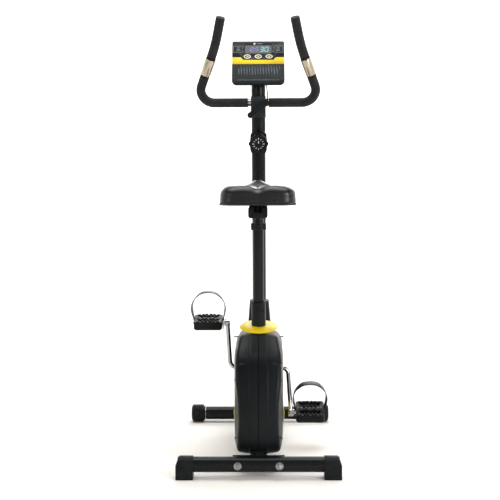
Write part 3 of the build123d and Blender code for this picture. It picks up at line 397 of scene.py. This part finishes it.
def smooth_line(points, count):
    """Evenly spread points on a smooth curve through a few given ones."""
    fine = []
    padded = [points[0], *points, points[-1]]
    for a, b, c, d in zip(padded, padded[1:], padded[2:], padded[3:]):
        for step in range(24):
            t = step / 24
            fine.append(tuple(0.5 * (2 * q + (r - p) * t + (2 * p - 5 * q + 4 * r - s) * t * t
                                     + (3 * q - p - 3 * r + s) * t ** 3) for p, q, r, s in zip(a, b, c, d)))
    fine.append(tuple(points[-1]))
    lengths = [0.0]
    for p, q in zip(fine, fine[1:]):
        lengths.append(lengths[-1] + math.dist(p, q))
    result, index = [], 0
    for k in range(count):
        want = lengths[-1] * k / (count - 1)
        while index < len(lengths) - 2 and lengths[index + 1] < want:
            index += 1
        gap = lengths[index + 1] - lengths[index] or 1
        t = (want - lengths[index]) / gap
        result.append(tuple(p + (q - p) * t for p, q in zip(fine[index], fine[index + 1])))
    return result


def lookup(line, along):
    """The second value of a line at a first value, blended between its points."""
    if along <= line[0][0]:
        return line[0][1]
    for (a, u), (b, v) in zip(line, line[1:]):
        if along <= b:
            return u + (v - u) * (along - a) / (b - a)
    return line[-1][1]


def saddle_point(edge, share, height_line):
    """A point of the saddle's top: share 0 is the middle line, 1 the outline."""
    x, y = edge
    spine_y = y * 0.55 + (-215) * 0.45 if share < 1 else y
    px, py = x * share, y * share + spine_y * (1 - share)
    crown = lookup(height_line, py)
    nose = max(0.0, min(1.0, (py + 190) / 70))
    power, root = 6.5 - 3.7 * nose, 0.5 + 0.1 * nose
    fall = 1 - (1 - min(1, share) ** power) ** root
    z = crown - (crown - 862) * fall
    rear = max(0.0, min(1.0, (-140 - py) / 110))
    z -= DIP_DEPTH * math.exp(-(px / DIP_WIDTH) ** 2) * rear
    return px, py, z


def make_saddle():
    half = smooth_line(SADDLE_PLAN, 40)
    outline = half + [(-x, y) for x, y in reversed(half[1:-1])]
    height_line = smooth_line(SADDLE_SIDE, 40)
    bm = bmesh.new()
    rings = []
    for inset, z in SADDLE_WALL:
        ring = []
        for x, y in outline:
            shrink = 1 - inset / 110
            ring.append(bm.verts.new((x * shrink * MM, ((y + 215) * shrink - 215) * MM, z * MM)))
        rings.append(ring)
    for share in (0.985, 0.95, 0.9, 0.83, 0.74, 0.63, 0.5, 0.36, 0.2):
        rings.append([bm.verts.new([value * MM for value in saddle_point(edge, share, height_line)])
                      for edge in outline])
    count = len(outline)
    for low, high in zip(rings, rings[1:]):
        for k in range(count):
            bm.faces.new((low[k], low[(k + 1) % count], high[(k + 1) % count], high[k]))
    for ring in (rings[0], rings[-1]):
        bm.faces.new(ring)
    bmesh.ops.triangulate(bm, faces=[face for face in bm.faces if len(face.verts) > 4])
    cushion = mesh_object("saddle_pad", bm)
    inflate(cushion, 5 * MM, 2.5 * MM)
    subdivide(cushion, 1)
    smooth(cushion, 180)
    finish_piece(cushion, vinyl, "saddle", "saddle_vinyl", "saddle_cushion")
    edge_line = [Vector((x * 0.998 * MM, ((y + 215) * 0.998 - 215) * MM, (SADDLE_BOTTOM + 1.5) * MM))
                 for x, y in outline]
    welt = tube_along("saddle_welt", edge_line, 1.5 * MM, closed=True)
    finish_piece(welt, vinyl, "saddle", "saddle_vinyl")


def subdivide(piece, levels):
    modifier = piece.modifiers.new("subdivision", "SUBSURF")
    modifier.levels = modifier.render_levels = levels
    applied(piece)


def inflate(piece, voxel, most):
    """Lets a pad swell under a little pressure, as a stuffed cover does, by no more than a set distance."""
    remesh = piece.modifiers.new("remesh", "REMESH")
    remesh.mode, remesh.voxel_size = "VOXEL", voxel
    applied(piece)
    start = [vertex.co.copy() for vertex in piece.data.vertices]
    cloth = piece.modifiers.new("cloth", "CLOTH")
    cloth.settings.use_pressure = True
    cloth.settings.uniform_pressure_force = 4
    cloth.settings.effector_weights.gravity = 0
    scene = bpy.context.scene
    for number in range(1, 21):
        scene.frame_set(number)
    bpy.context.view_layer.update()
    evaluated = piece.evaluated_get(bpy.context.evaluated_depsgraph_get())
    moved = [vertex.co.copy() for vertex in evaluated.data.vertices]
    piece.modifiers.clear()
    for vertex, before, after in zip(piece.data.vertices, start, moved):
        shift = after - before
        if shift.length > most:
            shift.length = most
        vertex.co = before + shift
    scene.frame_set(1)


def tube_along(name, points, radius, closed=False, sides=10):
    """A round bead that follows a line of points."""
    data = bpy.data.curves.new(name, "CURVE")
    data.dimensions, data.bevel_depth, data.bevel_resolution = "3D", radius, sides // 4
    data.use_fill_caps = not closed
    spline = data.splines.new("POLY")
    spline.points.add(len(points) - 1)
    for target, place in zip(spline.points, points):
        target.co = (*place, 1)
    spline.use_cyclic_u = closed
    curve = bpy.data.objects.new(name, data)
    bpy.context.scene.collection.objects.link(curve)
    bpy.context.view_layer.update()
    mesh = bpy.data.meshes.new_from_object(curve.evaluated_get(bpy.context.evaluated_depsgraph_get()))
    bpy.data.objects.remove(curve)
    mesh.name = name
    piece = bpy.data.objects.new(name, mesh)
    bpy.context.scene.collection.objects.link(piece)
    smooth(piece, 60)
    return piece


# ---------------------------------------------------------------- covers
COVER_SIDE = [(-336, 58), (-356, 160), (-345, 262), (-296, 360), (-214, 420), (-90, 418), (60, 392),
              (165, 371), (262, 347), (322, 288), (340, 200), (318, 58)]     # side view: forward, up
COVER_BENDS = [34, 280, 240, 170, 20, 250, 400, 400, 90, 90, 180, 34]
COVER_EDGE, COVER_WALL = 15, 3
COVER_PLAN = [(-362, 60), (-332, 72), (-180, 79), (150, 79), (335, 64), (356, 54)]       # half width along Y
COVER_REAR = [(48, 50), (60, 68), (112, 79), (345, 79), (440, 58)]                       # half width up Z
CRANK_Z = 273
BAND_HALF, BAND_STEP, FACET_DROP = 30, 1.6, 3.4
NOTCH_Z, NOTCH_DEPTH, NOTCH_HALF = 344, 5.0, 3.2


def rounded_outline(points, bends, steps=9):
    """A closed outline with an arc at each corner."""
    result = []
    for before, here, after, bend in zip(points[-1:] + points[:-1], points, points[1:] + points[:1], bends):
        here = Vector(here)
        back, ahead = (Vector(before) - here).normalized(), (Vector(after) - here).normalized()
        half = back.angle(ahead) / 2
        shorter = min((Vector(before) - here).length, (Vector(after) - here).length)
        reach = min(bend / tan(half), 0.49 * shorter)
        radius = reach * tan(half)
        centre = here + (back + ahead).normalized() * radius / sin(half)
        start, end = here + back * reach - centre, here + ahead * reach - centre
        sweep = start.angle_signed(end)
        for k in range(steps + 1):
            turned = start.copy()
            turned.rotate(Matrix.Rotation(-sweep * k / steps, 2))
            result.append(centre + turned)
    return result


def reach_at(loop, centre, angle):
    """How far an outline lies from a point inside it, at an angle."""
    ray = Vector((cos(angle), sin(angle)))
    best = 0.0
    for start, end in zip(loop, loop[1:] + loop[:1]):
        run, gap = end - start, start - centre
        across = ray.x * run.y - ray.y * run.x
        if abs(across) < 1e-9:
            continue
        along = (gap.x * run.y - gap.y * run.x) / across
        share = (gap.x * ray.y - gap.y * ray.x) / across
        if -1e-6 <= share <= 1 + 1e-6:
            best = max(best, along)
    return best


def cover_half_width(y, z):
    """The cover's half width, with its side and rear tapers blended softly."""
    plan, rear = lookup(COVER_PLAN, y), lookup(COVER_REAR, z)
    blend = 5.0
    mix = max(0.0, min(1.0, 0.5 + 0.5 * (rear - plan) / blend))
    return rear * (1 - mix) + plan * mix - blend * mix * (1 - mix)


def cover_angles():
    """Angles round the crank's axis: even steps, and finer ones at the notch in the rear face."""
    notch = math.atan2(NOTCH_Z - CRANK_Z, -290)
    fine = [notch + radians(step * 0.35) for step in range(-8, 9)]
    even = [2 * pi * k / 240 - pi for k in range(240)]
    return sorted([a for a in even if abs(a - notch) > radians(3.4)] + fine)


def cover_half(name, node, side):
    """One moulded half of the drive cover: rim, rounded edge and side with a dished crank opening."""
    loop = rounded_outline([(float(y), float(z)) for y, z in COVER_SIDE], COVER_BENDS)
    centre = Vector((0.0, CRANK_Z))
    angles = cover_angles()
    rim = [centre + Vector((cos(a), sin(a))) * reach_at(loop, centre, a) for a in angles]
    count = len(rim)
    inward = []
    for k in range(count):
        along = (rim[(k + 1) % count] - rim[k - 1]).normalized()
        inward.append(Vector((-along.y, along.x)))
    bm = bmesh.new()
    rings = []

    def add_ring(places):
        rings.append([bm.verts.new((side * x * MM, y * MM, z * MM)) for x, y, z in places])

    def rim_ring(x_of, drop):
        places = []
        for point, normal in zip(rim, inward):
            width = cover_half_width(point.x, point.y)
            x = x_of(width)
            sink = drop
            if point.x < 0:
                near = max(0.0, 1 - abs(point.y - NOTCH_Z) / NOTCH_HALF)
                sink += NOTCH_DEPTH * near * max(0.0, min(1.0, (x - 46) / 12))
            place = point + normal * sink
            places.append((x, place.x, place.y))
        add_ring(places)

    straight = [(0.3, COVER_WALL), (0.3, 0.9), (1.1, 0.0), (10, 0.0), (20, 0.0), (BAND_HALF - 2.2, 0.0),
                (BAND_HALF, 0.5), (BAND_HALF + 1.2, BAND_STEP)]
    for x, drop in straight:
        rim_ring(lambda width, x=x: x, drop)
    for share in (0.25, 0.5, 0.75, 1.0):
        start = BAND_HALF + 1.2
        rim_ring(lambda width, share=share: start + (width - COVER_EDGE - start) * share,
                 BAND_STEP + (FACET_DROP - BAND_STEP) * share ** 1.5)
    for step in range(1, 8):
        turn = radians(90 * step / 7)
        rim_ring(lambda width, turn=turn: width - COVER_EDGE * (1 - sin(turn)),
                 FACET_DROP + COVER_EDGE * (1 - cos(turn)))
    outer = [point + normal * (FACET_DROP + COVER_EDGE) for point, normal in zip(rim, inward)]
    dish = 62
    circle = [Vector((cos(a), sin(a))) for a in angles]
    for share in (0.06, 0.2, 0.4, 0.6, 0.8, 1.0):
        places = []
        for point, ray in zip(outer, circle):
            place = point.lerp(centre + ray * dish, share)
            swell = 1.3 * sin(pi * share)
            places.append((cover_half_width(place.x, place.y) + swell, place.x, place.y))
        add_ring(places)
    face = cover_half_width(0, CRANK_Z)
    for radius, rise in ((dish - 1.2, -0.6), (dish - 2.4, -2.4), (dish - 5, -3.2), (44, -3.4), (34, -3.2),
                         (32.4, -2.6), (31.2, 0.4), (29.4, 1.4), (24, 1.6), (21.6, 0.8), (20.6, -1.2),
                         (20.4, -12)):
        add_ring([(face + rise, *(centre + ray * radius)) for ray in circle])
    for low, high in zip(rings, rings[1:]):
        for k in range(count):
            bm.faces.new((low[k], low[(k + 1) % count], high[(k + 1) % count], high[k]))
    cover = mesh_object(name, bm)
    wall = cover.modifiers.new("wall", "SOLIDIFY")
    wall.thickness, wall.offset = -2.4 * MM, 1
    smooth(applied(cover), 38)
    return finish_piece(cover, cover_plastic, "frame", "cover_black", node)


def make_covers():
    for name, node, side in (("cover_shell_left", "cover_left", -1), ("cover_shell_right", "cover_right", 1)):
        cover_half(name, node, side)


# ---------------------------------------------------------------- console face
CONSOLE_Y, CONSOLE_Z, CONSOLE_TILT = 50, 1228, 32      # middle of the face's lower edge, and its lean
LCD_BLUE, LCD_GREEN = (0.16, 0.14, 0.55), (0.12, 0.62, 0.60)
DIGIT_SEGMENTS = {"0": "abcdef", "1": "bc", "2": "abged", "3": "abgcd", "5": "afgcd", "8": "abcdefg"}
FIN_PITCH, FIN_COUNT = 9.3, 15
DIGIT_LEVELS = (-0.78, -0.62)                          # just above the sunk window


def on_console(x, up, out):
    """A point given across, up and out of the console's face."""
    lean = radians(CONSOLE_TILT)
    y = CONSOLE_Y + up * sin(lean) - out * cos(lean)
    z = CONSOLE_Z + up * cos(lean) + out * sin(lean)
    return Vector((x, y, z)) * MM


def console_plates(name, plates, material, slot, body="frame"):
    """Thin raised plates on the console's face: each is an outline, and its low and high levels."""
    bm = bmesh.new()
    for outline, low, high in plates:
        below = [bm.verts.new(on_console(x, up, low)) for x, up in outline]
        above = [bm.verts.new(on_console(x, up, high)) for x, up in outline]
        bm.faces.new(above)
        bm.faces.new(below[::-1])
        for k in range(len(outline)):
            bm.faces.new((below[k - 1], below[k], above[k], above[k - 1]))
    piece = mesh_object(name, bm)
    return finish_piece(piece, material, body, slot)


def bar(x, up, width, height, lean=0.0):
    """A small rectangle about a point, leaning to the right by a share of its height."""
    return [(x + sx * width / 2 + sy * lean * height / 2, up + sy * height / 2)
            for sx, sy in ((-1, -1), (1, -1), (1, 1), (-1, 1))]


def oval(x, up, width, height, count=28):
    return [(x + width / 2 * cos(2 * pi * k / count), up + height / 2 * sin(2 * pi * k / count))
            for k in range(count)]


def ring_plates(x, up, width, height, thick, low, high, count=32):
    """An oval ring as a run of short pieces."""
    outer = oval(x, up, width, height, count)
    inner = oval(x, up, width - 2 * thick, height - 2 * thick, count)
    return [([outer[k - 1], outer[k], inner[k], inner[k - 1]], low, high) for k in range(count)]


def digit(character, x, up, height):
    """One seven-segment digit, as slim bars."""
    width, thick, lean = height * 0.55, height * 0.13, 0.1
    places = {"a": (0, 1, 1), "g": (0, 0, 1), "d": (0, -1, 1), "b": (1, 0.5, 0), "c": (1, -0.5, 0),
              "f": (-1, 0.5, 0), "e": (-1, -0.5, 0)}
    bars = []
    for segment in DIGIT_SEGMENTS[character]:
        side, level, flat = places[segment]
        at_x, at_up = x + side * width / 2 + lean * level * height / 2, up + level * height / 2
        size = (width - thick, thick) if flat else (thick, height / 2 - thick)
        bars.append((bar(at_x, at_up, *size, lean), *DIGIT_LEVELS))
    return bars


def glow(name, colour, strength):
    """A lit display segment."""
    material, tree, shader = new_material(name)
    grain = texture(tree, "noise", 700, 2.0)
    tree.links.new(ramp(tree, grain, [0.8 * c for c in colour], colour), shader.inputs["Emission Color"])
    tree.links.new(ramp(tree, grain, [0.5 * c for c in colour], [0.6 * c for c in colour]),
                   shader.inputs["Base Color"])
    shader.inputs["Emission Strength"].default_value = strength
    shader.inputs["Roughness"].default_value = 0.4
    return material


def make_console():
    nodes["console_lens"].data.materials.clear()
    nodes["console_lens"].data.materials.append(display_glass)
    blue, green = glow("lcd_blue", LCD_BLUE, 0.8), glow("lcd_green", LCD_GREEN, 0.75)
    left = digit("1", -31, 143, 16) + digit("2", -20, 143, 16) + [(bar(-13, 139, 2, 2), *DIGIT_LEVELS),
                                                               (bar(-13, 147, 2, 2), *DIGIT_LEVELS)]
    left += digit("5", -5, 143, 16)
    console_plates("lcd_left_digits", left, blue, "console_lens")
    right = digit("3", 12, 143, 19) + digit("0", 28, 143, 19)
    console_plates("lcd_right_digits", right, green, "console_lens")
    frames = []
    for side in (-1, 1):
        for x, up, width, height in ((69, 156.4, 30, 1.3), (69, 129.6, 30, 1.3)):
            frames.append((bar(side * x, up, width, height), 0.0, 0.45))
        frames.append((bar(side * 84.4, 143, 1.3, 28.1), 0.0, 0.45))
        frames.append((bar(side * 53.2, 150.5, 1.3, 11, -side * 0.35), 0.0, 0.45))
        frames.append((bar(side * 52.6, 134.0, 1.3, 9, side * 0.5), 0.0, 0.45))
        for row in range(3):
            frames.append((bar(side * 68, 137 + 6 * row, 15 - 3 * row, 1.8), 0.0, 0.3))
    for x in (-48, 48):
        frames.append((bar(x, 161.5, 8, 1.2), 0.0, 0.35))
    console_plates("console_side_frames", frames, grey_print_and_highlight, "console_black")
    console_plates("console_top_dot", [(oval(-13, 166, 7, 7), 0.0, 0.4)], pale_plastic, "button_plastic")
    console_plates("console_top_dash", [(bar(5, 166, 20, 2.4), 0.0, 0.35)], grey_print_and_highlight, "console_black")
    for name, x in (("button_left", -37), ("button_middle", 0), ("button_right", 37)):
        nodes[name].data.materials.clear()
        nodes[name].data.materials.append(console_plastic)
        rings = ring_plates(x, 111, 24, 17, 3.2, 1.55, 2.1)
        rings.append((bar(x, 111, 8, 2.6, 0.9), 1.55, 2.0))
        console_plates(f"{name}_ring", rings, pale_plastic, "button_plastic", body=name)
    make_fins()
    # painted highlight: a row of grey dots along the lower ledge stands in for the glints on its edge
    highlight_dots = [(bar(-68 + 4.25 * k, 15, 2.4, 1.4), 0.0, 0.3) for k in range(33)]
    console_plates("console_dotted_highlight", highlight_dots, grey_print_and_highlight, "console_black")


def make_fins():
    """The speaker grille: leaf-shaped ribs in two staggered rows, coloured a light blue-grey that is a
    painted highlight.
    """
    bm = bmesh.new()
    first = -(FIN_COUNT - 1) / 2 * FIN_PITCH
    for row, (low, high, wide) in enumerate(((36, 66, 2.1), (54, 77, 1.5))):
        for k in range(FIN_COUNT):
            x = first + k * FIN_PITCH + row * FIN_PITCH / 2
            steps = 9
            sections = []
            for step in range(steps + 1):
                share = step / steps
                half = wide * sin(pi * (0.08 + 0.84 * share)) ** 0.8
                up, bow = low + (high - low) * share, (2.2 if row else -1.4) * sin(pi * share)
                rise = 2.6 * sin(pi * (0.05 + 0.9 * share))
                sections.append([bm.verts.new(on_console(x + bow - half, up, -0.4)),
                                 bm.verts.new(on_console(x + bow, up, rise)),
                                 bm.verts.new(on_console(x + bow + half, up, -0.4))])
            for near, far in zip(sections, sections[1:]):
                for a in range(3):
                    bm.faces.new((near[a - 1], near[a], far[a], far[a - 1]))
            bm.faces.new(sections[0])
            bm.faces.new(sections[-1][::-1])
    fins = mesh_object("console_fins", bm)
    smooth(fins, 50)
    finish_piece(fins, fin_painted_highlight, "frame", "console_black")


# ---------------------------------------------------------------- toe straps
STRAP_RISE, STRAP_SPREAD, STRAP_WALL = 100, 56, 2.6
STRAP_MIDDLE = 19.5                                    # forward of the pedal's axis
PEDAL_HALF, PEDAL_X, CRANK_LENGTH, CRANK_LEAN = 47.5, 171, 152, 4


def strap_line(lean):
    """Half of a strap edge's path from the pedal's side over the top: across and up."""
    side = PEDAL_HALF + 1.6
    return [(side, -26), (side, -8), (side + 0.6, 10), (STRAP_SPREAD - 1 + lean, 32),
            (STRAP_SPREAD + lean, 54), (STRAP_SPREAD - 8 + lean, 76), (STRAP_SPREAD - 24 + lean * 0.5, 93),
            (18, STRAP_RISE + lean * 0.3), (0, STRAP_RISE + 2 + lean * 0.3)]


def pedal_place(side, pitch):
    """Where a pedal's middle lies and how far the pedal has turned."""
    centre_y = side * -CRANK_LENGTH * sin(radians(CRANK_LEAN))
    centre_z = CRANK_Z - side * CRANK_LENGTH * cos(radians(CRANK_LEAN))
    return (Matrix.Translation(Vector((side * PEDAL_X, centre_y, centre_z)) * MM)
            @ Matrix.Rotation(radians(pitch), 4, "X"))


def make_strap(side_name, side, pitch):
    """A flat moulded ribbon over the foot, wider at the rear, with a row of holes near its free end."""
    place = pedal_place(side, pitch)
    rows = []
    for lean, y in ((1.5, 6.0), (0.5, 15.0), (-0.8, 24.0), (-2.0, 33.0)):
        half = smooth_line(strap_line(lean), 30)
        rows.append([(x, y, z) for x, z in half] + [(-x, y, z) for x, z in reversed(half[:-1])])
    bm = bmesh.new()
    grid = [[bm.verts.new(place @ (Vector(point) * MM)) for point in row] for row in rows]
    for near, far in zip(grid, grid[1:]):
        for k in range(len(near) - 1):
            bm.faces.new((near[k], near[k + 1], far[k + 1], far[k]))
    strap = mesh_object(f"toe_strap_{side_name}", bm)
    wall = strap.modifiers.new("wall", "SOLIDIFY")
    wall.thickness, wall.offset = STRAP_WALL * MM, 0
    applied(strap)
    edges = strap.modifiers.new("edges", "BEVEL")
    edges.width, edges.segments, edges.limit_method = 0.6 * MM, 2, "ANGLE"
    edges.angle_limit = radians(50)
    applied(strap)
    punch_holes(strap, place)
    smooth(strap, 40)
    finish_piece(strap, strap_plastic, f"{side_name}_pedal", "strap_rubber", f"strap_{side_name}")


def punch_holes(strap, place):
    """Adjustment holes through both ends of a strap."""
    bm = bmesh.new()
    for x in (-PEDAL_HALF - 4, PEDAL_HALF + 4):
        for height in (24, 36):
            cut = bmesh.ops.create_cone(bm, cap_ends=True, segments=16, radius1=2.6 * MM, radius2=2.6 * MM,
                                        depth=22 * MM)
            turn = (place @ Matrix.Translation(Vector((x, STRAP_MIDDLE, height)) * MM)
                    @ Matrix.Rotation(pi / 2, 4, "Y"))
            bmesh.ops.transform(bm, matrix=turn, verts=cut["verts"])
    cutter = mesh_object("strap_hole_cutter", bm)
    hole = strap.modifiers.new("holes", "BOOLEAN")
    hole.object, hole.operation, hole.solver = cutter, "DIFFERENCE", "EXACT"
    applied(strap)
    bpy.data.objects.remove(cutter)


def make_treads(side_name, side, pitch):
    """Arched, toothed tread plates across the pedal."""
    place = pedal_place(side, pitch)
    bm = bmesh.new()
    for y in (-40, -13, 13, 40):
        for k in range(6):
            x = -32 + 12.8 * k
            top = 14.5 + 5.2 * (1 - (x / 44) ** 2) + 0.8
            low = [(x - 4.8, y - 4), (x + 4.8, y - 4), (x + 4.8, y + 4), (x - 4.8, y + 4)]
            high = [(x - 3.2, y - 2.6), (x + 3.2, y - 2.6), (x + 3.2, y + 2.6), (x - 3.2, y + 2.6)]
            below = [bm.verts.new(place @ (Vector((*point, 12)) * MM)) for point in low]
            above = [bm.verts.new(place @ (Vector((*point, top)) * MM)) for point in high]
            bm.faces.new(above)
            bm.faces.new(below[::-1])
            for a in range(4):
                bm.faces.new((below[a - 1], below[a], above[a], above[a - 1]))
    treads = mesh_object(f"pedal_treads_{side_name}", bm)
    edges = treads.modifiers.new("edges", "BEVEL")
    edges.width, edges.segments, edges.limit_method = 0.7 * MM, 2, "ANGLE"
    applied(treads)
    smooth(treads, 40)
    finish_piece(treads, black_plastic, f"{side_name}_pedal", "black_plastic")


# ---------------------------------------------------------------- tension dial
DIAL_Z, DIAL_FACE = 1034, 60
MAST_LEAN = 7.5


def make_dial_marks():
    """White ticks round the dial's cap and a pointer, printed on its flat face."""
    lean = radians(MAST_LEAN)
    origin = Vector((0, 112 - (DIAL_Z - 1165) * tan(lean), DIAL_Z)) * MM
    out = Vector((0, -cos(lean), -sin(lean)))
    up = Vector((0, -sin(lean), cos(lean)))
    across = Vector((1, 0, 0))
    bm = bmesh.new()

    def mark(angle, inner, outer, wide, low, high):
        ray, side = across * cos(angle) + up * sin(angle), up * cos(angle) - across * sin(angle)
        flat = [ray * inner - side * wide, ray * outer - side * wide, ray * outer + side * wide,
                ray * inner + side * wide]
        below = [bm.verts.new(origin + point * MM + out * low * MM) for point in flat]
        above = [bm.verts.new(origin + point * MM + out * high * MM) for point in flat]
        bm.faces.new(above)
        bm.faces.new(below[::-1])
        for k in range(4):
            bm.faces.new((below[k - 1], below[k], above[k], above[k - 1]))

    for k in range(12):
        mark(2 * pi * k / 12, 14.5, 18.5 if k % 3 else 20.5, 0.9, DIAL_FACE - 1.4, DIAL_FACE - 0.5)
    mark(pi / 2, 2, 10, 1.1, DIAL_FACE + 1.0, DIAL_FACE + 1.7)
    marks = mesh_object("dial_marks", bm)
    finish_piece(marks, white_print, "tension_knob", "button_plastic")


# ---------------------------------------------------------------- build
make_camera()
make_stage()
make_light()
make_pulse_cable()
finish_cad_parts()
make_saddle()
make_covers()
make_console()
for name, side, pitch in (("left", -1, 8), ("right", 1, 19)):
    make_strap(name, side, pitch)
    make_treads(name, side, pitch)
make_dial_marks()
